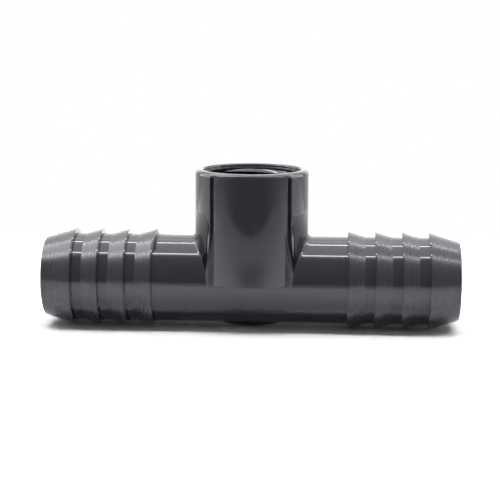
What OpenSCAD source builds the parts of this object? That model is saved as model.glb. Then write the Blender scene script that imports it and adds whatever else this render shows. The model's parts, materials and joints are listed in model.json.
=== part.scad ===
// Barbed insert tee with a female threaded branch.
// The run lies along X and the branch rises along Z. Their axes cross at the origin.

/* [Run] */
// Length of the run, end to end
run_length = 120.2; // [112:0.1:140]
// Outside diameter of the plain tube
tube_d = 25.4; // [24:0.1:26.6]
// Wall of the plain tube
tube_wall = 2.5; // [2:0.1:3.2]

/* [Barbs] */
// Diameter over the barb crests
crest_d = 28; // [27:0.1:29]
// Distance from one crest to the next
barb_pitch = 7.73; // [7:0.01:8.5]
// Slope of the barb cones from the run axis
barb_angle = 16; // [12:0.5:22]
// Width of the flat on each crest
crest_flat = 0.4; // [0.2:0.05:0.8]
// Length of the outermost barb, from its shoulder to the open end
nose_length = 9; // [6:0.1:10]
// Wall left at the open end
end_wall = 1.2; // [0.9:0.05:1.6]
// Rounding of the open end's edges
end_round = 0.4; // [0.2:0.05:0.6]

/* [Branch] */
// Outside diameter of the branch
branch_d = 32.7; // [31:0.1:36]
// Height of the branch's lip above the run axis
branch_height = 32.25; // [30:0.05:45]
// Rounding on the outside of the lip
lip_round = 1.3; // [0.5:0.05:1.5]
// Rounding on the inside of the lip
lip_inner_round = 0.65; // [0.1:0.05:0.7]
// How far the mouth opens out beyond the thread's root
mouth_flare = 0.75; // [0.5:0.05:1.3]
// Depth of the plain rim inside the mouth
mouth_depth = 0.95; // [0.8:0.05:2]
// Length of the plain bore between the thread and the socket's floor
stop_length = 3.5; // [2:0.1:5]
// Diameter of the opening from the socket into the run
branch_bore_d = 19; // [14:0.1:20]
// Fillet where the branch meets the top of the run
fillet_top = 1.2; // [0.8:0.05:1.5]
// Fillet where it runs out on the sides of the run
fillet_side = 0.4; // [0.3:0.05:0.7]
// How far the branch's foot swells out at the level of the run axis
foot_swell = 1.4; // [0.8:0.05:2]
// How far the foot rises above the top of the run
foot_rise = 3.8; // [2.5:0.1:6]
// How far the foot stands out from the sides of the run
foot_proud = 0.15; // [0.1:0.01:0.3]

/* [Thread] */
// Diameter of the thread's root at its upper end
thread_d = 26.6; // [25.6:0.05:27.4]
// Distance from one turn to the next
thread_pitch = 1.814; // [1.6:0.001:2.2]
// Width of the flat along the ridge's crest
crest_land = 0.2; // [0.1:0.05:0.4]
// Width of the flat between two turns of the ridge
root_land = 0.3; // [0.2:0.05:0.5]
// Number of turns
thread_turns = 6; // [4:0.5:6.5]
// Depth of the sloped lead-in between the plain rim and the thread
lead_in = 0.25; // [0.2:0.05:1]
// Taper of the thread, in diameter over length
thread_taper = 0.0625; // [0:0.0025:0.08]

/* [Gate pad] */
// Length of the pad along the run
pad_length = 18.5; // [12:0.1:24]
// Width of the pad across the run
pad_width = 7; // [4:0.1:10]
// Height of the pad below the tube
pad_rise = 1.05; // [0.5:0.05:1.1]

/* [Hidden] */
$fn = 96;

plastic = [0.30, 0.31, 0.33];
barb_count = 4;
// Length by which a cutting shape passes the face that it cuts
pass = 1;
// Most of a wall's thickness that a rounding takes, on each edge of the open end and on the lip
end_share = 0.45;
lip_share = 0.68;
lip_inner_share = 0.3;

half_run = run_length / 2;
tube_r = tube_d / 2;
run_bore_r = tube_r - tube_wall;
crest_r = crest_d / 2;
// Places of the shoulders, from the outermost barb inwards
shoulder = [for (i = [0 : barb_count - 1]) half_run - nose_length - i * barb_pitch];
// Each cone ends on the tube, or on the next barb's shoulder where that comes first
cone_length = min((crest_r - tube_r) / tan(barb_angle), barb_pitch - crest_flat);
foot_r = crest_r - cone_length * tan(barb_angle);
end_r = run_bore_r + end_wall;
end_fillet = min(end_round, end_share * end_wall);
nose_angle = atan((crest_r - end_r) / (nose_length - crest_flat));

branch_r = branch_d / 2;
root_top_r = thread_d / 2;
branch_bore_r = branch_bore_d / 2;
mouth_r = root_top_r + mouth_flare;
lip_wall = branch_r - mouth_r;
lip_fillet = min(lip_round, lip_share * lip_wall);
lip_inner_fillet = min(lip_inner_round, lip_inner_share * lip_wall);

// Lean of the ridge's flanks from the plane across the thread
flank_angle = 30;
flank_slope = tan(flank_angle);
thread_depth = (thread_pitch - crest_land - root_land) / (2 * flank_slope);
thread_top = branch_height - mouth_depth - lead_in;
// The wall is tapered for half a turn beyond each end of the ridge
thread_bottom = thread_top - (thread_turns + 1) * thread_pitch;
root_bottom_r = root_top_r - (thread_top - thread_bottom) * thread_taper / 2;
// The plain bore below the thread clears the ridge's innermost turn
socket_bore_r = root_bottom_r - thread_depth;
socket_floor = thread_bottom - stop_length;

// Points on a circular arc of radius r about c, from one angle to another
function arc(c, r, from, to, steps = 8) =
    [for (k = [0 : steps]) let (a = from + (to - from) * k / steps) c + r * [cos(a), sin(a)]];

// Turns a shape drawn along Z so that it lies along the run
module along_run() {
    rotate([0, 90, 0]) children();
}

module run_cylinder(r, length) {
    along_run() cylinder(r = r, h = length, center = true);
}

module run_body() {
    color(plastic) difference() {
        run_cylinder(tube_r, 2 * shoulder[barb_count - 1]);
        run_cylinder(run_bore_r, run_length + 2 * pass);
        cylinder(r = branch_bore_r, h = branch_height);
    }
}

// The right end's outermost barb, with the tapered nose of the spigot
module nose() {
    // The rounding's centre lies end_fillet inside both the cone and the end face
    inset = end_fillet * (1 - sin(nose_angle)) / cos(nose_angle);
    fillet_z = half_run - end_fillet;
    along_run() rotate_extrude() polygon(concat(
        [
            [run_bore_r, shoulder[0]],
            [crest_r, shoulder[0]],
            [crest_r, shoulder[0] + crest_flat]
        ],
        arc([end_r - inset, fillet_z], end_fillet, nose_angle, 90),
        arc([run_bore_r + end_fillet, fillet_z], end_fillet, 90, 180)
    ));
}

// One of the right end's inner barbs, from its shoulder to the shoulder of the barb outside it
module inner_barb(i) {
    along_run() rotate_extrude() polygon([
        [run_bore_r, shoulder[i]],
        [crest_r, shoulder[i]],
        [crest_r, shoulder[i] + crest_flat],
        [foot_r, shoulder[i] + crest_flat + cone_length],
        [foot_r, shoulder[i - 1]],
        [run_bore_r, shoulder[i - 1]]
    ]);
}

// Barb number n of the right end, counted from the open end
module right_barb(n) {
    color(plastic) {
        if (n == 1) nose();
        else inner_barb(n - 1);
    }
}

module left_barb(n) {
    mirror([1, 0, 0]) right_barb(n);
}

// The branch swells towards its foot. The swelling is as wide as the run, and upright at both its ends.
foot_steps = 16;
foot_height = tube_r + foot_rise;
// How far the foot's inside lies within the branch
foot_depth = 1;
// Depth by which the foot's upper end dips into the branch
foot_sink = 0.03;
// How far the branch and its foot pass the ledge's plane before they are cut off flat
branch_overrun = 3;

// Share of the foot's height that is left above a level
function foot_left(z) = 1 - pow(z / foot_height, 2);
function wall_r(z) = branch_r - foot_sink + foot_swell * pow(foot_left(z), 2);
function wall_lean(z) = atan(4 * foot_swell * foot_left(z) * z / pow(foot_height, 2));

module foot() {
    half_wide = tube_r + foot_proud;
    intersection() {
        rotate_extrude() polygon(concat(
            [[branch_r - foot_depth, foot_height], [branch_r - foot_depth, -branch_overrun]],
            [for (k = [0 : foot_steps])
                let (z = -branch_overrun + (foot_height + branch_overrun) * k / foot_steps) [wall_r(z), z]]
        ));
        translate([-half_run, -half_wide, -branch_overrun - pass])
            cube([run_length, 2 * half_wide, foot_height + branch_overrun + 2 * pass]);
    }
}

// The fillet between the foot and the run follows a ball that rolls against both.
// Angle a turns about the run axis and is 0 on top of the run.
fillet_stations = 24;
fillet_steps = 6;
// Angle to which the fillet reaches down the sides of the run
fillet_reach = 60;
// Depth to which the fillet's edges are sunk, so that they end inside the branch and the run
fillet_sink = 0.04;
// Distance of the fillet's hidden edge from the ball's centre, where 1 is the corner that the fillet fills
fillet_root = 1.3;
// How far the fillet's two ends dip into the corner
fillet_bury = 0.15;

function ball_r(a) = fillet_top + (fillet_side - fillet_top) * pow(a / fillet_reach, 2);
function ball_height(a) = (tube_r + ball_r(a)) * cos(a);
function ball_lean(a) = wall_lean(ball_height(a));
// Distance of the ball's centre from the branch axis
function ball_reach(a) =
    let (f = ball_r(a), touch = ball_height(a) - f * sin(ball_lean(a)))
    wall_r(touch) + f * cos(ball_lean(a));
function ball_centre(a) =
    let (y = (tube_r + ball_r(a)) * sin(a))
    [sqrt(pow(ball_reach(a), 2) - y * y), y, ball_height(a)];
function between(u, v, span, t) = (sin((1 - t) * span) * u + sin(t * span) * v) / sin(span);
function fillet_section(a) =
    let (
        f = ball_r(a),
        c = ball_centre(a),
        to_run = [0, -sin(a), -cos(a)],
        lean = ball_lean(a),
        to_branch = -[cos(lean) * c.x / ball_reach(a), cos(lean) * c.y / ball_reach(a), sin(lean)],
        span = acos(to_run * to_branch),
        bury = fillet_bury * pow(a / fillet_reach, 4) * (to_run + to_branch)
    )
    concat(
        [for (k = [0 : fillet_steps])
            let (sink = k == 0 || k == fillet_steps ? fillet_sink : 0)
            c + bury + (f + sink) * between(to_run, to_branch, span, k / fillet_steps)],
        [c + bury + fillet_root * f * (to_run + to_branch) / (2 * pow(cos(span / 2), 2))]
    );

// Triangles of a tube of sections with n points each, closed at both ends
function strip_faces(sections, n) = concat(
    [for (i = [0 : sections - 2], k = [0 : n - 1])
        let (p = i * n + k, q = i * n + (k + 1) % n) each [[p, q, p + n], [q, q + n, p + n]]],
    [for (k = [1 : n - 2]) [0, k + 1, k]],
    [for (k = [1 : n - 2]) let (p = (sections - 1) * n) [p, p + k, p + k + 1]]
);

module fillet() {
    sections = [for (i = [0 : fillet_stations]) fillet_section(fillet_reach * (2 * i / fillet_stations - 1))];
    polyhedron(
        [for (s = sections) each s],
        strip_faces(fillet_stations + 1, fillet_steps + 2)
    );
}

// Half section of the branch, from its outside over the lip and down the socket
module branch_section() {
    polygon(concat(
        [[branch_bore_r, -branch_overrun], [branch_r, -branch_overrun]],
        arc([branch_r - lip_fillet, branch_height - lip_fillet], lip_fillet, 0, 90),
        arc([mouth_r + lip_inner_fillet, branch_height - lip_inner_fillet], lip_inner_fillet, 90, 180, 4),
        [
            [mouth_r, branch_height - mouth_depth],
            [root_top_r, thread_top],
            [root_bottom_r, thread_bottom],
            [socket_bore_r, thread_bottom],
            [socket_bore_r, socket_floor],
            [branch_bore_r, socket_floor]
        ]
    ));
}

module branch_socket() {
    color(plastic) difference() {
        // The ledge is flat, in the plane of the run axis
        intersection() {
            union() {
                rotate_extrude() branch_section();
                foot();
                fillet();
                mirror([1, 0, 0]) fillet();
            }
            translate([-half_run, -half_run, 0]) cube([run_length, run_length, branch_height + pass]);
        }
        run_cylinder(tube_r, run_length);
    }
}

// The thread's ridge rises out of the wall over its first and last parts of a turn.
thread_stations_per_turn = 30;
thread_fade_turns = 0.1;
// Where the ridge's ends lie about the branch axis, so that its top turn is full all along the back
thread_end_angle = 130;
// Share of the full height at the ridge's very ends
thread_end_share = 0.04;
// Share of the flat between turns that the ridge's foot takes up inside the wall, before the wall trims it
thread_foot_share = 0.45;
thread_sink = thread_foot_share * root_land / (2 * flank_slope);

function thread_height(t) =
    thread_depth * min(1, thread_end_share + min(t, thread_turns - t) / thread_fade_turns);
function thread_section(t) =
    let (
        z = thread_bottom + thread_pitch / 2 + t * thread_pitch,
        root = root_bottom_r + (z - thread_bottom) * thread_taper / 2,
        crest = root - thread_height(t),
        half_foot = crest_land / 2 + (thread_height(t) + thread_sink) * flank_slope,
        a = thread_end_angle + 360 * (t - thread_turns),
        out = [cos(a), sin(a), 0]
    )
    [
        crest * out + [0, 0, z - crest_land / 2],
        crest * out + [0, 0, z + crest_land / 2],
        (root + thread_sink) * out + [0, 0, z + half_foot],
        (root + thread_sink) * out + [0, 0, z - half_foot]
    ];

module branch_thread() {
    stations = thread_turns * thread_stations_per_turn;
    sections = [for (i = [0 : stations]) thread_section(i / thread_stations_per_turn)];
    color(plastic) intersection() {
        polyhedron([for (s = sections) each s], strip_faces(stations + 1, 4));
        translate([0, 0, thread_bottom])
            cylinder(r1 = root_bottom_r, r2 = root_top_r, h = thread_top - thread_bottom);
    }
}

// The pad swells below the tube to its full height at the middle of the run.
pad_steps = 12;
pad_overrun = 1.05;

function pad_r(x) = tube_r + pad_rise * (1 - pow(2 * x / pad_length, 2));

module gate_pad() {
    half = pad_overrun * pad_length / 2;
    color(plastic) difference() {
        intersection() {
            along_run() rotate_extrude() polygon(concat(
                [[run_bore_r, half], [run_bore_r, -half]],
                [for (k = [0 : pad_steps]) let (x = half * (2 * k / pad_steps - 1)) [pad_r(x), x]]
            ));
            translate([-half, -pad_width / 2, -tube_r - pad_rise - pass])
                cube([2 * half, pad_width, tube_r + pad_rise + pass]);
        }
        run_cylinder(tube_r, run_length);
    }
}

run_body();
left_barb(1);  // left_barb_1
left_barb(2);  // left_barb_2
left_barb(3);  // left_barb_3
left_barb(4);  // left_barb_4
right_barb(1);  // right_barb_1
right_barb(2);  // right_barb_2
right_barb(3);  // right_barb_3
right_barb(4);  // right_barb_4
branch_socket();
branch_thread();
gate_pad();
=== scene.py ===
"""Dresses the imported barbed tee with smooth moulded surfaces, plastic, a floor, lights and a camera."""
import json
import math

import bpy
import numpy as np
from mathutils import Matrix, Vector


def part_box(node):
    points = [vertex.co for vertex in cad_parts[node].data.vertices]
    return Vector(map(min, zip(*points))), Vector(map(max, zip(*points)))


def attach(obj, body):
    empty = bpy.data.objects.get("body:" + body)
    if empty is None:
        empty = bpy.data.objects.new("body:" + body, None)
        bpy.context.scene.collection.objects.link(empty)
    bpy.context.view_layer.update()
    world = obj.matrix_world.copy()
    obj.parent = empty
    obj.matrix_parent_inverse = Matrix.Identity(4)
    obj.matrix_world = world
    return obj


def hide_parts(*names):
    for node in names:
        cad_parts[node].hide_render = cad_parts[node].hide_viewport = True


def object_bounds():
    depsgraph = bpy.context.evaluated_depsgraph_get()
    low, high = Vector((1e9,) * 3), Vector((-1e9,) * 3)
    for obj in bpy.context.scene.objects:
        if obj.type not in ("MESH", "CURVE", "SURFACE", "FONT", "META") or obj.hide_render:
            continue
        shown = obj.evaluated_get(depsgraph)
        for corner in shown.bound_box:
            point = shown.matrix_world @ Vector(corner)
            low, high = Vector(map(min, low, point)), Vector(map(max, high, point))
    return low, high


MM = 0.001

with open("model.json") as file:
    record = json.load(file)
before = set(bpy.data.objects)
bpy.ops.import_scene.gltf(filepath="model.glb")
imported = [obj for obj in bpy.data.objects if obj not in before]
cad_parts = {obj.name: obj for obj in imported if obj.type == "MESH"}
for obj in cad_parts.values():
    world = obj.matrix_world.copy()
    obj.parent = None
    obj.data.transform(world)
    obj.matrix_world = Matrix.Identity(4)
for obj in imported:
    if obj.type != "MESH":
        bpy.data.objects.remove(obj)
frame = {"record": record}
cad_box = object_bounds()
mounts = {m["name"]: m for m in frame["record"]["mounts"]}


def mount_radius(name):
    return mounts[name]["dims"]["r_mm"] * MM


# Sizes read from the frame
BARBS = 4
run_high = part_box("run_body")[1]
tube_r = run_high.y
tube_half = run_high.x
half_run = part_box("right_barb_1")[1].x
crest_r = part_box("right_barb_1")[1].y
run_bore_r = mount_radius("run_bore")
shoulders = [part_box(f"right_barb_{n}")[0].x for n in range(1, BARBS + 1)]
branch_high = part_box("branch_socket")[1]
branch_r = branch_high.y
branch_top = branch_high.z
branch_bore_r = mount_radius("branch_bore")
socket_bore_r = mount_radius("branch_thread_hole")
pad_low, pad_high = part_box("gate_pad")
floor_z = cad_box[0].z

# Sizes repeated from the source, in metres
barb_angle = math.radians(16)
crest_flat = 0.4 * MM
end_wall = 1.2 * MM
end_round = 0.4 * MM
lip_round = 1.3 * MM
lip_inner_round = 0.65 * MM
fillet_top = 1.2 * MM
foot_sink = 0.03 * MM
foot_swell = 1.4 * MM - foot_sink
foot_rise = 3.8 * MM
foot_proud = 0.15 * MM
thread_r = 13.3 * MM
thread_pitch = 1.814 * MM
thread_turns = 6
thread_end = math.radians(130)
thread_crest = 0.2 * MM
thread_root = 0.3 * MM
thread_taper = 0.0625
mouth_flare = 0.75 * MM
mouth_depth = 0.95 * MM
lead_in = 0.25 * MM
stop_length = 3.5 * MM

# Sizes that follow from those
cone_length = (crest_r - tube_r) / math.tan(barb_angle)
end_r = run_bore_r + end_wall
mouth_r = thread_r + mouth_flare
thread_top = branch_top - mouth_depth - lead_in
thread_low = thread_top - (thread_turns + 1) * thread_pitch
thread_low_r = thread_r - (thread_top - thread_low) * thread_taper / 2
flank_slope = math.tan(math.radians(30))
thread_depth = (thread_pitch - thread_crest - thread_root) / (2 * flank_slope)
socket_floor = thread_low - stop_length
foot_top = tube_r + foot_rise
half_wide = tube_r + foot_proud
corner_angle = math.asin(half_wide / branch_r)
corner_x = branch_r * math.cos(corner_angle)

# Small roundings that the source leaves out, and the least radius of the fillet beside the branch
crest_edge = 0.07 * MM
cone_edge = 0.12 * MM
cone_foot = 0.5 * MM
mouth_corner = 0.15 * MM
ledge_edge = 0.3 * MM
foot_corner = 2.0 * MM
fillet_low = 0.55 * MM
# Largest share of the ledge's width that its rounded edge takes
ledge_share = 0.6
# Largest rounding of the foot's upright edge, as a multiple of the flat beside it
corner_share = 2.0

# How finely the surfaces are divided
AROUND = 192
CORNER_STEPS = 6
SIDE_STATIONS = 48
CORNER_STATIONS = 8
STRIP_STATIONS = 6
FRONT_STATIONS = 72
SADDLE_STEPS = 6
LEDGE_STEPS = 8
EDGE_STEPS = 8
FILLET_STEPS = 12
FOOT_STEPS = 16
WALL_STEPS = 10
BALL_TRIES = 6
THREAD_STATIONS = 72
CREST_STEPS = 4
PAD_LONG = 48
PAD_WIDE = 24

UP = np.array([0, 0, 1.0])


# Sections
class Profile:
    """Points of a closed section, each with the side that follows: its normals at both ends and its mark."""

    def __init__(self):
        self.points = []
        self.starts = []
        self.ends = []
        self.marks = []

    def side(self, point, start, end, mark):
        self.points.append(point)
        self.starts.append(start)
        self.ends.append(end)
        self.marks.append(mark)


def unit(v):
    return v / np.linalg.norm(v)


def outward(a, b):
    """Normal on the right of the way from a to b, which is outside where the section runs anticlockwise."""
    way = unit(b - a)
    return np.array([way[1], -way[0]])


def turned(v, angle):
    c = math.cos(angle)
    s = math.sin(angle)
    return np.array([c * v[0] - s * v[1], s * v[0] + c * v[1]])


def corner_arc(spot, radius, before, after):
    """Points of a corner between sides with two normals, each as (point, normal before, normal after)."""
    if radius == 0:
        return [(spot, before, after)]
    bend = math.atan2(before[0] * after[1] - before[1] * after[0], before @ after)
    hollow = -1 if bend > 0 else 1
    centre = spot + hollow * radius * (before + after) / (1 + before @ after)
    arc = []
    for k in range(CORNER_STEPS + 1):
        n = turned(before, bend * k / CORNER_STEPS)
        arc.append((centre - hollow * radius * n, n, n))
    return arc


def rounded_profile(corners):
    """Closed section through corners of (x, y, rounding, mark); the mark belongs to the side that follows."""
    count = len(corners)
    spots = [np.array(c[:2]) for c in corners]
    normals = [outward(spots[i], spots[(i + 1) % count]) for i in range(count)]
    arcs = [corner_arc(spots[i], corners[i][2], normals[i - 1], normals[i]) for i in range(count)]
    profile = Profile()
    for i in range(count):
        mark = corners[i][3]
        following = arcs[i][1:] + arcs[(i + 1) % count][:1]
        for (point, _, start), (_, end, _) in zip(arcs[i], following):
            profile.side(point, start, end, mark)
    return profile


# Pieces
def dressed(piece, stands_for):
    """Puts a piece in the scene, on the one body and in place of its CAD nodes."""
    bpy.context.scene.collection.objects.link(piece)
    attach(piece, "root")
    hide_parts(*stands_for)
    return piece


def mesh_piece(name, points, faces, corner_normals, stands_for):
    """A smooth piece with its own corner normals."""
    mesh = bpy.data.meshes.new(name)
    mesh.from_pydata(points, [], faces)
    mesh.shade_smooth()
    mesh.normals_split_custom_set(corner_normals)
    return dressed(bpy.data.objects.new(name, mesh), stands_for)


def angled_piece(name, points, faces, stands_for):
    """A piece whose normals are smooth except across sharp edges."""
    sharp = math.radians(35)
    mesh = bpy.data.meshes.new(name)
    mesh.from_pydata(points, [], faces)
    mesh.shade_smooth()
    mesh.set_sharp_from_angle(angle=sharp)
    return dressed(bpy.data.objects.new(name, mesh), stands_for)


def mark_satin(mesh, marks):
    """Stores for each face how far its finish is satin, from 0 to 1."""
    layer = mesh.attributes.new("satin", "FLOAT", "FACE")
    layer.data.foreach_set("value", marks)


def grid_faces(columns, rows):
    """Faces of a grid that closes on itself both ways."""
    faces = []
    for c in range(columns):
        d = (c + 1) % columns
        for r in range(rows):
            s = (r + 1) % rows
            faces.append((c * rows + r, d * rows + r, d * rows + s, c * rows + s))
    return faces


def around_run(v, angle):
    """A vector of a half section, as (along, out), turned about the run axis."""
    return np.array([v[0], v[1] * math.sin(angle), v[1] * math.cos(angle)])


def lathe(name, profile, flip, stands_for):
    """A ring about the run axis, drawn for the right end and mirrored for the left where flip is set."""
    rows = len(profile.points)
    angles = [2 * math.pi * c / AROUND for c in range(AROUND)]
    side = np.array([-1 if flip else 1, 1, 1])
    points = [side * around_run(p, a) for a in angles for p in profile.points]
    faces = grid_faces(AROUND, rows)
    normals = []
    for c in range(AROUND):
        here = angles[c]
        there = angles[(c + 1) % AROUND]
        for r in range(rows):
            start = profile.starts[r]
            end = profile.ends[r]
            ring = [(start, here), (start, there), (end, there), (end, here)]
            normals.append([side * around_run(n, a) for n, a in ring])
    if flip:
        faces = [face[::-1] for face in faces]
        normals = [four[::-1] for four in normals]
    corner_normals = [n for four in normals for n in four]
    piece = mesh_piece(name, points, faces, corner_normals, stands_for)
    mark_satin(piece.data, profile.marks * AROUND)
    return piece


# The barbs, whose cones are satin
def nose_profile():
    return rounded_profile([
        (shoulders[0], run_bore_r, 0, 0),
        (half_run, run_bore_r, end_round, 0),
        (half_run, end_r, end_round, 1),
        (shoulders[0] + crest_flat, crest_r, cone_edge, 0),
        (shoulders[0], crest_r, crest_edge, 0),
    ])


def barb_profile(i):
    foot = shoulders[i] + crest_flat + cone_length
    return rounded_profile([
        (shoulders[i], run_bore_r, 0, 0),
        (shoulders[i - 1], run_bore_r, 0, 0),
        (shoulders[i - 1], tube_r, 0, 0),
        (foot, tube_r, cone_foot, 1),
        (shoulders[i] + crest_flat, crest_r, cone_edge, 0),
        (shoulders[i], crest_r, crest_edge, 0),
    ])


def make_barbs():
    made = []
    for n in range(1, BARBS + 1):
        profile = nose_profile() if n == 1 else barb_profile(n - 1)
        for end, flip in (("right", False), ("left", True)):
            made.append(lathe(f"moulded_{end}_barb_{n}", profile, flip, [f"{end}_barb_{n}"]))
    return made


# The tube of the run
def opening_cutter():
    """A plug as wide as the branch's bore, from the run axis to above the tube."""
    ring = [2 * math.pi * k / AROUND for k in range(AROUND)]
    rim = [(branch_bore_r * math.cos(a), branch_bore_r * math.sin(a)) for a in ring]
    points = [(x, y, 0) for x, y in rim] + [(x, y, branch_top) for x, y in rim]
    sides = []
    for k in range(AROUND):
        j = (k + 1) % AROUND
        sides.append((k, j, AROUND + j, AROUND + k))
    lids = [tuple(reversed(range(AROUND))), tuple(range(AROUND, 2 * AROUND))]
    mesh = bpy.data.meshes.new("opening")
    mesh.from_pydata(points, [], sides + lids)
    cutter = bpy.data.objects.new("opening", mesh)
    bpy.context.scene.collection.objects.link(cutter)
    return cutter


def tube_normals(mesh):
    """True normals of the drilled tube at each face corner."""
    middle_r = (tube_r + run_bore_r) / 2
    square = 0.9
    near = MM
    normals = []
    for face in mesh.polygons:
        centre = face.center
        spread = Vector((0, centre.y, centre.z))
        facing = face.normal.dot(spread.normalized())
        for v in face.vertices:
            p = mesh.vertices[v].co
            radial = Vector((0, p.y, p.z)).normalized()
            if abs(face.normal.x) > square and abs(centre.x) > branch_r:
                normals.append(face.normal.copy())
            elif spread.length > middle_r and facing > square:
                normals.append(radial)
            elif facing < -square and abs(spread.length - run_bore_r) < near:
                normals.append(-radial)
            else:
                normals.append(-Vector((p.x, p.y, 0)).normalized())
    return normals


def make_run():
    """The plain tube, with the opening to the branch cut through its top."""
    profile = rounded_profile([
        (-tube_half, run_bore_r, 0, 0),
        (tube_half, run_bore_r, 0, 0),
        (tube_half, tube_r, 0, 0),
        (-tube_half, tube_r, 0, 0),
    ])
    piece = lathe("moulded_run", profile, False, ["run_body"])
    cutter = opening_cutter()
    cut = piece.modifiers.new("opening", "BOOLEAN")
    cut.object = cutter
    cut.solver = "EXACT"
    evaluated = piece.evaluated_get(bpy.context.evaluated_depsgraph_get())
    mesh = bpy.data.meshes.new_from_object(evaluated)
    piece.modifiers.clear()
    piece.data = mesh
    bpy.data.objects.remove(cutter)
    mesh.shade_smooth()
    mesh.normals_split_custom_set(tube_normals(mesh))
    return piece


# The branch is a grid of columns round its axis. Every column runs from the opening out along the run,
# over the ledge, up the foot, up the wall, over the lip and down the socket.
def foot_radius(z):
    return branch_r + foot_swell * (1 - (z / foot_top) ** 2) ** 2


def foot_lean(z):
    """Angle by which the side of the foot leans back from upright."""
    return math.atan(4 * foot_swell * (1 - (z / foot_top) ** 2) * z / foot_top ** 2)


def corner_centre(z):
    """Radius and centre of the rounded edge between a round side of the foot and its flat."""
    r = foot_radius(z)
    flat = max(0, math.sqrt(r ** 2 - half_wide ** 2) - corner_x)
    rounding = min(foot_corner, corner_share * flat)
    y = half_wide - rounding
    return rounding, math.sqrt((r - rounding) ** 2 - y ** 2), y


def side_spot(u, z):
    """Point and normal on the foot: u is 0 beside the run, 1 where the rounding starts and 2 on the flat."""
    rounding, x, y = corner_centre(z)
    limit = math.atan2(y, x)
    lean = foot_lean(z)
    if u <= 1:
        azimuth = u * limit
        out = np.array([math.cos(azimuth), math.sin(azimuth), 0])
        spot = foot_radius(z) * out
    else:
        azimuth = limit + (u - 1) * (math.pi / 2 - limit)
        out = np.array([math.cos(azimuth), math.sin(azimuth), 0])
        spot = np.array([x, y, 0]) + rounding * out
        lean *= 2 - u
    return spot + z * UP, math.cos(lean) * out + math.sin(lean) * UP


def heights(start):
    """Levels from the start to the top of the foot, closer together towards the top."""
    return [foot_top - (foot_top - start) * (1 - k / FOOT_STEPS) ** 2 for k in range(FOOT_STEPS + 1)]


def ledge(inner, outer, facing):
    """Points and normals from the run out over the ledge and round its lower edge."""
    width = np.linalg.norm(outer - inner)
    edge = min(ledge_edge, ledge_share * width)
    stop = outer - edge * facing
    points = [inner + (stop - inner) * k / LEDGE_STEPS for k in range(LEDGE_STEPS + 1)]
    normals = [-UP for _ in points]
    for k in range(1, EDGE_STEPS + 1):
        turn = math.pi / 2 * k / EDGE_STEPS
        n = math.sin(turn) * facing - math.cos(turn) * UP
        points.append(stop + edge * (n + UP))
        normals.append(n)
    points += points[-1:] * FILLET_STEPS
    normals += normals[-1:] * FILLET_STEPS
    return points, normals


def rolling_ball(a):
    """The ball that rolls in the corner of run and foot, at angle a about the run axis.

    Gives its radius and centre, the ways to the run and the foot, and the place u where it touches the foot.
    """
    f = fillet_low + (fillet_top - fillet_low) * math.cos(a) ** 2
    y = (tube_r + f) * math.sin(a)
    z = (tube_r + f) * math.cos(a)
    touch = z
    for _ in range(BALL_TRIES):
        lean = foot_lean(touch)
        touch = z - f * math.sin(lean)
    reach = foot_radius(touch) + f * math.cos(lean)
    x = math.sqrt(reach ** 2 - y ** 2)
    azimuth = math.atan2(y, x)
    rounding, corner_along, corner_across = corner_centre(touch)
    limit = math.atan2(corner_across, corner_along)
    u = azimuth / limit
    if u > 1:
        gap = rounding + f * math.cos(lean)
        x = corner_along + math.sqrt(gap ** 2 - (y - corner_across) ** 2)
        azimuth = math.atan2(y - corner_across, x - corner_along)
        u = 1 + (azimuth - limit) / (math.pi / 2 - limit)
    out = np.array([math.cos(azimuth), math.sin(azimuth), 0])
    to_run = np.array([0, -math.sin(a), -math.cos(a)])
    to_foot = -math.cos(lean) * out - math.sin(lean) * UP
    return f, np.array([x, y, z]), to_run, to_foot, u


def with_side(points, normals, u):
    """A column that has reached the foot at place u, carried on up to the top of the foot."""
    above = [side_spot(u, level) for level in heights(points[-1][2])[1:]]
    return points + [spot for spot, _ in above], normals + [normal for _, normal in above]


def side_foot(a):
    """Foot beside the run at angle a about the run axis, with the fillet along the run."""
    f, centre, to_run, to_foot, u = rolling_ball(a)
    span = math.acos(to_run @ to_foot)
    points = []
    normals = []
    for k in range(FILLET_STEPS + 1):
        share = k / FILLET_STEPS
        way = (math.sin((1 - share) * span) * to_run + math.sin(share * span) * to_foot) / math.sin(span)
        points.append(centre + f * way)
        normals.append(-way)
    before = LEDGE_STEPS + EDGE_STEPS
    return with_side(points[:1] * before + points, normals[:1] * before + normals, u)


def corner_foot(u):
    """Foot at the rounded edge, where it ends on the ledge."""
    first, facing = side_spot(u, 0)
    points, normals = ledge(np.array([first[0], tube_r, 0]), first, facing)
    return with_side(points, normals, u)


def strip_foot(share):
    """The flat beside the round front, where the foot is as wide as the run."""
    facing = np.array([0, 1.0, 0])

    def spot(z):
        x = corner_centre(z)[1]
        return np.array([x + (corner_x - x) * share, half_wide, z])

    first = spot(0)
    points, normals = ledge(np.array([first[0], tube_r, 0]), first, facing)
    spots = [spot(z) for z in heights(points[-1][2])[1:]]
    return points + spots, normals + [facing for _ in spots]


def front_foot(azimuth):
    """The round front or back of the branch, which goes straight down to the ledge."""
    out = np.array([math.cos(azimuth), math.sin(azimuth), 0])
    inner_x = corner_x * math.cos(azimuth) / math.cos(corner_angle)
    inner = np.array([inner_x, math.copysign(tube_r, out[1]), 0])
    points, normals = ledge(inner, branch_r * out, out)
    spots = [branch_r * out + z * UP for z in heights(points[-1][2])[1:]]
    return points + spots, normals + [out for _ in spots]


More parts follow.
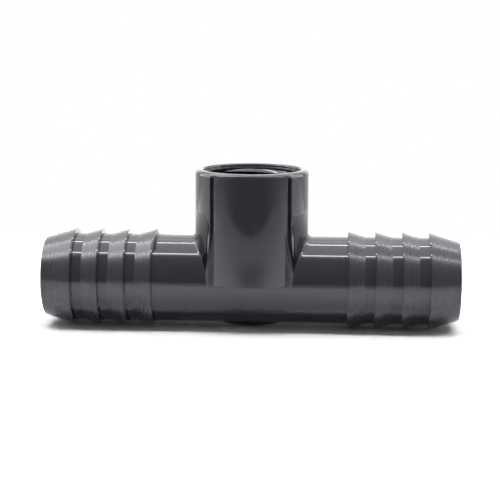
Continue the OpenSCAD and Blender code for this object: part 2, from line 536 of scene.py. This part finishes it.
def socket_profile():
    """Section of the branch above its foot, from the wall over the lip and down the socket."""
    return rounded_profile([
        (branch_bore_r, 0, 0, 0),
        (branch_r, 0, 0, 0),
        (branch_r, branch_top, lip_round, 0),
        (mouth_r, branch_top, lip_inner_round, 0),
        (mouth_r, branch_top - mouth_depth, mouth_corner, 0),
        (thread_r, thread_top, 0, 0),
        (thread_low_r, thread_low, 0, 0),
        (socket_bore_r, thread_low, 0, 0),
        (socket_bore_r, socket_floor, 0, 0),
        (branch_bore_r, socket_floor, 0, 0),
    ])


def mirrored(feet, flip):
    """The feet in reverse order, mirrored."""
    flip = np.array(flip)
    return [([flip * p for p in points], [flip * n for n in normals]) for points, normals in reversed(feet)]


def half_turn_feet():
    """Feet of half the columns, from one flat round a side to the other and along the round part."""
    side = [side_foot(math.pi / 2 * i / SIDE_STATIONS) for i in range(SIDE_STATIONS + 1)]
    last = rolling_ball(math.pi / 2)[-1]
    side += [corner_foot(last + (2 - last) * i / CORNER_STATIONS) for i in range(CORNER_STATIONS + 1)]
    side += [strip_foot(i / STRIP_STATIONS) for i in range(STRIP_STATIONS + 1)]
    span = math.pi - 2 * corner_angle
    front = [front_foot(corner_angle + span * i / FRONT_STATIONS) for i in range(FRONT_STATIONS + 1)]
    return mirrored(side, (1, -1, 1)) + side + front


def branch_column(foot, foot_ways, outside):
    """One column as (points, starts, ends), closed from the foot round to the foot."""
    level_slack = 0.001 * MM
    wall = foot[-1]
    out = unit(np.array([wall[0], wall[1], 0]))
    points = list(foot)
    starts = list(foot_ways)
    ends = list(foot_ways[1:]) + [out]
    starts[-1] = out
    wall_top = branch_top - lip_round
    for k in range(1, WALL_STEPS):
        z = wall[2] + (wall_top - wall[2]) * k / WALL_STEPS
        points.append(branch_r * out + z * UP)
        starts.append(out)
        ends.append(out)
    first = next(k for k, p in enumerate(outside.points) if p[1] > wall_top - level_slack)
    for p, start, end in zip(outside.points[first:], outside.starts[first:], outside.ends[first:]):
        points.append(p[0] * out + p[1] * UP)
        starts.append(start[0] * out + start[1] * UP)
        ends.append(end[0] * out + end[1] * UP)
    rim_x = branch_bore_r * out[0]
    rim_angle = math.asin(branch_bore_r * out[1] / tube_r)
    foot_angle = math.atan2(foot[0][1], foot[0][2])
    for k in range(SADDLE_STEPS):
        t = k / SADDLE_STEPS
        angle = rim_angle + (foot_angle - rim_angle) * t
        x = rim_x + (foot[0][0] - rim_x) * t
        radial = np.array([0, math.sin(angle), math.cos(angle)])
        points.append(tube_r * radial + np.array([x, 0, 0]))
        starts.append(-radial)
        ends.append(-radial)
    return points, starts, ends


def branch_mesh(columns):
    """Joins the columns; points in the same place become one, and faces without any width are left out."""
    grain = 1e-8
    rows = len(columns[0][0])
    places = {}
    points = []
    spots = []
    for column, _, _ in columns:
        line = []
        for p in column:
            key = tuple(round(c / grain) for c in p)
            if key not in places:
                places[key] = len(points)
                points.append(p)
            line.append(places[key])
        spots.append(line)
    faces = []
    normals = []
    for c in range(len(columns)):
        d = (c + 1) % len(columns)
        for r in range(rows):
            s = (r + 1) % rows
            ring = [spots[c][r], spots[d][r], spots[d][s], spots[c][s]]
            ways = [columns[c][1][r], columns[d][1][r], columns[d][2][r], columns[c][2][r]]
            kept = [k for k in range(4) if ring[k] != ring[k - 1]]
            if len(kept) > 2 and len(set(ring)) == len(kept):
                faces.append([ring[k] for k in kept])
                normals += [ways[k] for k in kept]
    return mesh_piece("moulded_branch", points, faces, normals, ["branch_socket"])


def make_branch():
    outside = socket_profile()
    half_turn = half_turn_feet()
    columns = []
    for side in (1, -1):
        turn = np.array([side, side, 1])
        for points, normals in half_turn:
            columns.append(branch_column([turn * p for p in points], [turn * n for n in normals], outside))
    return branch_mesh(columns)


# The thread's ridge, whose ends fade over a part of a turn and whose crest is a shallow arc
thread_fade = 0.1
thread_sink = 0.04 * MM
thread_least = 0.02
crest_arc = math.pi / 3
crest_arc_share = 0.58


def thread_section(turn):
    """Section of the ridge after so many turns from its lower end."""
    z = thread_low + thread_pitch / 2 + turn * thread_pitch
    root = thread_low_r + (z - thread_low) * thread_taper / 2
    grown = min(1, thread_least + min(turn, thread_turns - turn) / thread_fade)
    height = thread_depth * math.sin(math.pi / 2 * grown) if grown < 1 else thread_depth
    half_foot = thread_crest / 2 + (height + thread_sink) * flank_slope
    angle = thread_end + 2 * math.pi * (turn - thread_turns)
    out = np.array([math.cos(angle), math.sin(angle), 0])
    section = [(root + thread_sink) * out + (z - half_foot) * UP]
    for k in range(CREST_STEPS + 1):
        lean = crest_arc * (2 * k / CREST_STEPS - 1)
        rise = thread_crest / 2 * (math.cos(lean) - math.cos(crest_arc))
        level = z + thread_crest * crest_arc_share * math.sin(lean)
        section.append((root - height - rise) * out + level * UP)
    section.append((root + thread_sink) * out + (z + half_foot) * UP)
    return section


def make_thread():
    stations = round(thread_turns * THREAD_STATIONS)
    sections = [thread_section(i / THREAD_STATIONS) for i in range(stations + 1)]
    n = len(sections[0])
    faces = []
    for i in range(stations):
        for k in range(n):
            j = (k + 1) % n
            faces.append((i * n + k, (i + 1) * n + k, (i + 1) * n + j, i * n + j))
    faces.append(tuple(range(n)))
    faces.append(tuple(reversed(range(stations * n, (stations + 1) * n))))
    points = [p for section in sections for p in section]
    return angled_piece("moulded_thread", points, faces, ["branch_thread"])


# The pad under the run: how deep its underside and its rim are sunk, and how square its long edges are
pad_sink = 0.2 * MM
pad_rim_sink = 0.05 * MM
pad_squareness = 8


def make_pad():
    """A flat swelling with rounded edges, sunk a little into the tube."""
    pad_half_long = math.sqrt(-pad_low.x * pad_high.x)
    pad_half_wide = pad_high.y
    rise = -pad_low.z - tube_r
    points = []
    for level in (0, 1):
        for i in range(PAD_LONG + 1):
            u = -math.cos(math.pi * i / PAD_LONG)
            for j in range(PAD_WIDE + 1):
                v = -math.cos(math.pi * j / PAD_WIDE)
                height = rise * (1 - u * u) * (1 - abs(v) ** pad_squareness) - pad_rim_sink
                r = tube_r + (height if level else -pad_sink)
                angle = pad_half_wide * v / tube_r
                points.append((pad_half_long * u, r * math.sin(angle), -r * math.cos(angle)))
    wide = PAD_WIDE + 1
    sheet = (PAD_LONG + 1) * wide
    faces = []
    for i in range(PAD_LONG):
        for j in range(PAD_WIDE):
            a = i * wide + j
            faces.append((a, a + 1, a + wide + 1, a + wide))
            faces.append((sheet + a, sheet + a + wide, sheet + a + wide + 1, sheet + a + 1))
    rim = list(range(PAD_WIDE))
    rim += [i * wide + PAD_WIDE for i in range(PAD_LONG)]
    rim += [PAD_LONG * wide + PAD_WIDE - j for j in range(PAD_WIDE)]
    rim += [(PAD_LONG - i) * wide for i in range(PAD_LONG)]
    for k in range(len(rim)):
        a = rim[k]
        b = rim[(k + 1) % len(rim)]
        faces.append((b, a, sheet + a, sheet + b))
    return angled_piece("moulded_pad", points, faces, ["gate_pad"])


# Short words for shader nodes
def add(tree, kind, **settings):
    node = tree.nodes.new(kind)
    for key, value in settings.items():
        setattr(node, key, value)
    return node


def fill(node, **values):
    """Sets input sockets by name, with underscores for spaces."""
    for key, value in values.items():
        node.inputs[key.replace("_", " ")].default_value = value
    return node


def join(tree, source, target):
    tree.links.new(source, target)


def put(tree, value, target):
    """Joins a socket to an input, or sets the input to a plain value."""
    if isinstance(value, bpy.types.NodeSocket):
        join(tree, value, target)
    else:
        target.default_value = value


def calc(tree, operation, *values):
    node = add(tree, "ShaderNodeMath", operation=operation)
    for k, value in enumerate(values):
        put(tree, value, node.inputs[k])
    return node.outputs["Value"]


def mix(tree, kind, factor, a, b):
    """A blend from a to b, of plain values (FLOAT) or colours (RGBA)."""
    node = add(tree, "ShaderNodeMix", data_type=kind)
    put(tree, factor, node.inputs["Factor"])
    put(tree, a, node.inputs["A"])
    put(tree, b, node.inputs["B"])
    return node.outputs["Result"]


def ramp(tree, value, start, end, low, high):
    """A value that runs from low to high while the given one runs from start to end."""
    node = fill(add(tree, "ShaderNodeMapRange"), From_Min=start, From_Max=end, To_Min=low, To_Max=high)
    join(tree, value, node.inputs["Value"])
    return node.outputs["Result"]


def own_place(tree):
    return add(tree, "ShaderNodeTexCoord").outputs["Object"]


def coordinate(tree, place, axis):
    split = add(tree, "ShaderNodeSeparateXYZ")
    join(tree, place, split.inputs["Vector"])
    return split.outputs[axis]


def noise(tree, place, scale, detail, roughness):
    node = fill(add(tree, "ShaderNodeTexNoise"), Scale=scale, Detail=detail, Roughness=roughness)
    join(tree, place, node.inputs["Vector"])
    return node.outputs["Fac"]


def line_noise(tree, along, scale, detail, roughness):
    """Noise that changes along one line only."""
    node = add(tree, "ShaderNodeTexNoise", noise_dimensions="1D")
    fill(node, Scale=scale, Detail=detail, Roughness=roughness)
    join(tree, along, node.inputs["W"])
    return node.outputs["Fac"]


def blank_material(name):
    material = bpy.data.materials.new(name)
    material.use_nodes = True
    material.node_tree.nodes.clear()
    return material, material.node_tree


def show(tree, surface):
    output = add(tree, "ShaderNodeOutputMaterial")
    join(tree, surface, output.inputs["Surface"])


# The plastic: its darkest and lightest cloud and its dust as linear colours
DARK_GREY = (0.0150, 0.0158, 0.0200, 1)
LIGHT_GREY = (0.0218, 0.0230, 0.0284, 1)
DUST_GREY = (0.16, 0.165, 0.175, 1)
# Roughness of the gloss, and what the turned rings of the satin add, from the dullest ring to the brightest
GLOSS_ROUGH = (0.04, 0.09)
RING_ROUGH = (0.24, 0.06)
# Specular level of the gloss, and of the satin from its dullest ring to its brightest
GLOSS_SHINE = 0.5
RING_SHINE = (0.48, 0.6)
# Part of the streak noise that is used
STREAK_SPAN = (0.3, 0.7)


def dusty_grey(tree, place):
    """Cloudy dark grey with a few specks of dust."""
    specks_per_metre = 420
    speck_core = 0.02
    speck_rim = 0.035
    clean_share = 0.8
    cloud = noise(tree, place, scale=140, detail=3, roughness=0.6)
    tint = mix(tree, "RGBA", cloud, DARK_GREY, LIGHT_GREY)
    speck = fill(add(tree, "ShaderNodeTexVoronoi"), Scale=specks_per_metre)
    join(tree, place, speck.inputs["Vector"])
    dot = ramp(tree, speck.outputs["Distance"], speck_core, speck_rim, 1, 0)
    chance = add(tree, "ShaderNodeSeparateColor")
    join(tree, speck.outputs["Color"], chance.inputs["Color"])
    few = calc(tree, "GREATER_THAN", chance.outputs["Red"], clean_share)
    dust = calc(tree, "MULTIPLY", dot, few)
    return mix(tree, "RGBA", dust, tint, DUST_GREY)


def ring_bump(tree, haze, rings, satin):
    """Normal of the surface, with a faint haze all over and turned rings where it is satin."""
    haze_share = 0.042
    depth = 0.02 * MM
    turned_marks = calc(tree, "MULTIPLY", rings, satin)
    height = calc(tree, "MULTIPLY_ADD", haze, haze_share, turned_marks)
    bump = fill(add(tree, "ShaderNodeBump"), Strength=1.0, Distance=depth)
    join(tree, height, bump.inputs["Height"])
    return bump.outputs["Normal"]


def plastic_material():
    """Dark grey moulded plastic: glossy, a little cloudy and dusty, with turned rings where it is satin."""
    material, tree = blank_material("grey_plastic")
    place = own_place(tree)
    along = coordinate(tree, place, "X")
    satin = add(tree, "ShaderNodeAttribute", attribute_name="satin").outputs["Fac"]
    haze = noise(tree, place, scale=700, detail=4, roughness=0.6)
    streaks = line_noise(tree, along, scale=2600, detail=2, roughness=0.6)
    rings = line_noise(tree, along, scale=5200, detail=1, roughness=0.5)
    gloss = ramp(tree, haze, 0, 1, *GLOSS_ROUGH)
    rough = calc(tree, "MULTIPLY_ADD", satin, ramp(tree, streaks, *STREAK_SPAN, *RING_ROUGH), gloss)
    shine = mix(tree, "FLOAT", satin, GLOSS_SHINE, ramp(tree, streaks, *STREAK_SPAN, *RING_SHINE))
    shader = fill(add(tree, "ShaderNodeBsdfPrincipled"), IOR=1.56, Specular_Tint=(0.9, 0.92, 1, 1))
    join(tree, dusty_grey(tree, place), shader.inputs["Base Color"])
    join(tree, rough, shader.inputs["Roughness"])
    join(tree, ring_bump(tree, haze, rings, satin), shader.inputs["Normal"])
    join(tree, shine, shader.inputs["Specular IOR Level"])
    show(tree, shader.outputs["BSDF"])
    return material


# The floor and the cards
def floor_material():
    """White board that looks pure white where nothing shades it. In reflections it shows painted light:
    brighter than its lighting makes it, most towards the run, and fading to the front, with a dark spot of
    painted shadow in front of the run.
    """
    lit = 0.85
    seen = 1.7
    # Painted light: the board's colour as seen in reflections, rising from the front towards the run
    fade_front = -0.14
    fade_back = -0.06
    fade_low = 1.6
    fade_high = 2.1
    # Painted shadow: a soft dark spot in the board's reflections, in front of the run
    spot_centre = (0.004, -0.108, floor_z)
    spot_size = (0.075, 0.034, 1)
    spot_core = 0.3
    spot_rim = 1.1
    spot_dim = 0.5
    material, tree = blank_material("white_board")
    place = own_place(tree)
    fade = ramp(tree, coordinate(tree, place, "Y"), fade_front, fade_back, fade_low, fade_high)
    spot = add(tree, "ShaderNodeMapping", vector_type="TEXTURE")
    fill(spot, Location=spot_centre, Scale=spot_size)
    join(tree, place, spot.inputs["Vector"])
    from_spot = add(tree, "ShaderNodeVectorMath", operation="LENGTH")
    join(tree, spot.outputs["Vector"], from_spot.inputs[0])
    # Painted shadow: the reflections darken to spot_dim in the middle of the spot
    dim = ramp(tree, from_spot.outputs["Value"], spot_core, spot_rim, spot_dim, 1)
    painted_floor_reflection = calc(tree, "MULTIPLY", fade, dim)
    path = add(tree, "ShaderNodeLightPath")
    in_mirror = calc(tree, "MAXIMUM", path.outputs["Is Glossy Ray"], path.outputs["Is Transmission Ray"])
    shade = mix(tree, "FLOAT", in_mirror, lit, painted_floor_reflection)
    board = add(tree, "ShaderNodeBsdfDiffuse")
    join(tree, mix(tree, "FLOAT", path.outputs["Is Camera Ray"], shade, seen), board.inputs["Color"])
    show(tree, board.outputs["BSDF"])
    return material


def glow(tree, strength):
    light = add(tree, "ShaderNodeEmission")
    join(tree, strength, light.inputs["Strength"])
    show(tree, light.outputs["Emission"])


def rising_card_material(name, low_z, high_z, low, high):
    """A card that glows from one strength at its foot to another at its top."""
    material, tree = blank_material(name)
    glow(tree, ramp(tree, coordinate(tree, own_place(tree), "Z"), low_z, high_z, low, high))
    return material


def plain_card_material(name, strength):
    return rising_card_material(name, 0, 1, strength, strength)


def front_card_material(high_z, plain, half):
    """A dark card that grows brighter upwards and towards both sides."""
    low = 0.42
    high = 0.9
    side = 1.1
    material, tree = blank_material("dark_card")
    place = own_place(tree)
    upwards = ramp(tree, coordinate(tree, place, "Z"), 0, high_z, low, high)
    off_centre = calc(tree, "ABSOLUTE", coordinate(tree, place, "X"))
    sideways = ramp(tree, off_centre, plain, half, 0, side)
    glow(tree, calc(tree, "ADD", upwards, sideways))
    return material


def level_sheet(left, right, front, back, z):
    return [(left, front, z), (right, front, z), (right, back, z), (left, back, z)]


def side_sheet(x, front, back, low, high):
    """Corners of an upright sheet that faces along the run."""
    return [(x, front, low), (x, back, low), (x, back, high), (x, front, high)]


def front_sheet(half, y, low, high):
    """Corners of an upright sheet that faces across the run."""
    return [(-half, y, low), (half, y, low), (half, y, high), (-half, y, high)]


def stage_sheet(name, corners, material, camera_sees):
    mesh = bpy.data.meshes.new(name)
    mesh.from_pydata(corners, [], [tuple(range(len(corners)))])
    mesh.materials.append(material)
    sheet = bpy.data.objects.new(name, mesh)
    bpy.context.scene.collection.objects.link(sheet)
    sheet.visible_camera = camera_sees
    return sheet


def reflected_card(name, corners, material):
    """A card that shows in reflections and casts neither light nor shade."""
    sheet = stage_sheet(name, corners, material, False)
    sheet.visible_shadow = False
    sheet.visible_diffuse = False


def make_floor():
    half = 1.6
    front = -0.195
    back = 0.18
    stage_sheet("floor", level_sheet(-half, half, front, back, floor_z), floor_material(), True)


def make_front_card():
    half = 1.9
    plain = 0.3
    y = -0.6
    low = -0.4
    high = 1.35
    reflected_card("front_card", front_sheet(half, y, low, high), front_card_material(high, plain, half))


def make_post(end, side):
    """The dark post that shows as an upright stripe on the branch."""
    x = 0.081
    y = -0.0177
    half = 0.0072
    high = 0.024
    glow_strength = 0.02
    corners = side_sheet(side * x, y - half, y + half, floor_z, high)
    reflected_card(f"{end}_post", corners, plain_card_material(f"{end}_post", glow_strength))


def make_panel(end, side):
    """The bright panel far beyond an end of the run."""
    x = 0.4
    front = -0.01
    back = 0.3
    high = 0.35
    glow_strength = 4
    corners = side_sheet(side * x, front, back, floor_z, high)
    reflected_card(f"{end}_panel", corners, plain_card_material(f"{end}_panel", glow_strength))


def make_painted_reflection(end, side):
    """A small card over the inner shoulder of the barbs that glows only in reflections: painted light in the
    gloss on the side of the branch, which it does not light.
    """
    x = 0.0278
    front = -0.009
    back = 0.025
    low = 0.0085
    high = 0.0178
    # Strengths of the painted reflection, from the card's foot to its top
    low_glow = 0.8
    high_glow = 1.5
    material = rising_card_material(f"{end}_painted_gloss", tube_r, high, low_glow, high_glow)
    reflected_card(f"{end}_painted_gloss", side_sheet(side * x, front, back, low, high), material)


def make_window(end, side, glow_strength):
    """The window above an end of the run, which lights the cones."""
    inner = 0.11
    outer = 0.45
    front = -0.15
    back = 0.13
    z = 0.31
    corners = level_sheet(side * inner, side * outer, front, back, z)
    reflected_card(f"{end}_window", corners, plain_card_material(f"{end}_window", glow_strength))


def make_sky_card():
    half = 0.45
    front = -0.13
    back = 0.34
    z = 0.36
    glow_strength = 1.8
    corners = level_sheet(-half, half, front, back, z)
    reflected_card("sky_card", corners, plain_card_material("sky_card", glow_strength))


def make_stage():
    left_window_glow = 5
    right_window_glow = 2
    make_floor()
    make_front_card()
    for end, side, window_glow in (("left", -1, left_window_glow), ("right", 1, right_window_glow)):
        make_post(end, side)
        make_panel(end, side)
        make_painted_reflection(end, side)
        make_window(end, side, window_glow)
    make_sky_card()


# Lights, world and camera
def area_light(name, centre, target, wide, deep, radiance):
    lamp = bpy.data.lights.new(name, "AREA")
    lamp.shape = "RECTANGLE"
    lamp.size = wide
    lamp.size_y = deep
    lamp.energy = radiance * math.pi * wide * deep
    light = bpy.data.objects.new(name, lamp)
    light.location = centre
    way = Vector(target) - Vector(centre)
    light.rotation_mode = "QUATERNION"
    light.rotation_quaternion = way.to_track_quat("-Z", "Y")
    light.visible_camera = False
    bpy.context.scene.collection.objects.link(light)
    return light


def make_lights():
    """Two strips over the run, a soft ceiling, and a panel behind that only shows in the gloss."""
    strip_z = 0.30
    strip_long = 0.8
    strip_wide = 0.014
    strip_radiance = 18
    front_y = -0.084
    back_y = 0.125
    area_light("front_strip", (0, front_y, strip_z), (0, front_y, 0), strip_long, strip_wide, strip_radiance)
    area_light("back_strip", (0, back_y, strip_z), (0, back_y, 0), strip_long, strip_wide, strip_radiance)
    ceiling_y = 0.09
    ceiling_z = 0.34
    ceiling_wide = 0.6
    ceiling_deep = 0.46
    ceiling_radiance = 0.9
    ceiling_spot = (0, ceiling_y, ceiling_z)
    area_light("ceiling", ceiling_spot, (0, ceiling_y, 0), ceiling_wide, ceiling_deep, ceiling_radiance)
    panel_spot = (0, 0.55, 0.30)
    panel_aim = (0, 0, 0.02)
    panel_wide = 0.9
    panel_deep = 0.6
    panel_radiance = 0.8
    back_panel = area_light("back_panel", panel_spot, panel_aim, panel_wide, panel_deep, panel_radiance)
    back_panel.visible_diffuse = False


def make_world():
    """A white surround that looks fully white but lights surfaces only a little."""
    lighting = 0.12
    looks = 1.0
    world = bpy.data.worlds.new("studio")
    bpy.context.scene.world = world
    world.use_nodes = True
    tree = world.node_tree
    tree.nodes.clear()
    path = add(tree, "ShaderNodeLightPath")
    seen = calc(tree, "MAXIMUM", path.outputs["Is Camera Ray"], path.outputs["Is Glossy Ray"])
    seen = calc(tree, "MAXIMUM", seen, path.outputs["Is Transmission Ray"])
    surround = fill(add(tree, "ShaderNodeBackground"), Color=(1, 1, 1, 1))
    join(tree, ramp(tree, seen, 0, 1, lighting, looks), surround.inputs["Strength"])
    output = add(tree, "ShaderNodeOutputWorld")
    join(tree, surround.outputs["Background"], output.inputs["Surface"])


def make_camera():
    """The photograph's view: its lens, height and tilt, turned round the object by its yaw."""
    picture_px = 500
    focal_px = 1444.6
    distance = 420.4 * MM
    elevation = math.radians(9.629)
    roll = math.radians(0.287)
    yaw = math.radians(-3.231)
    shift_x = 0.486 * MM
    target_z = 8.457 * MM
    data = bpy.data.cameras.new("camera")
    data.sensor_fit = "HORIZONTAL"
    data.lens = data.sensor_width * focal_px / picture_px
    camera = bpy.data.objects.new("camera", data)
    bpy.context.scene.collection.objects.link(camera)
    forward = Vector((0, math.cos(elevation), -math.sin(elevation)))
    spot = Vector((-shift_x, 0, target_z)) - distance * forward
    tilt = Matrix.Rotation(math.pi / 2 - elevation, 4, "X") @ Matrix.Rotation(roll, 4, "Z")
    camera.matrix_world = Matrix.Rotation(-yaw, 4, "Z") @ Matrix.Translation(spot) @ tilt
    bpy.context.scene.camera = camera


def main():
    pieces = make_barbs()
    pieces.append(make_run())
    pieces.append(make_branch())
    pieces.append(make_thread())
    pieces.append(make_pad())
    plastic = plastic_material()
    for piece in pieces:
        piece.data.materials.append(plastic)
    make_stage()
    make_lights()
    make_world()
    make_camera()
    bpy.context.scene.view_settings.view_transform = "Standard"


main()
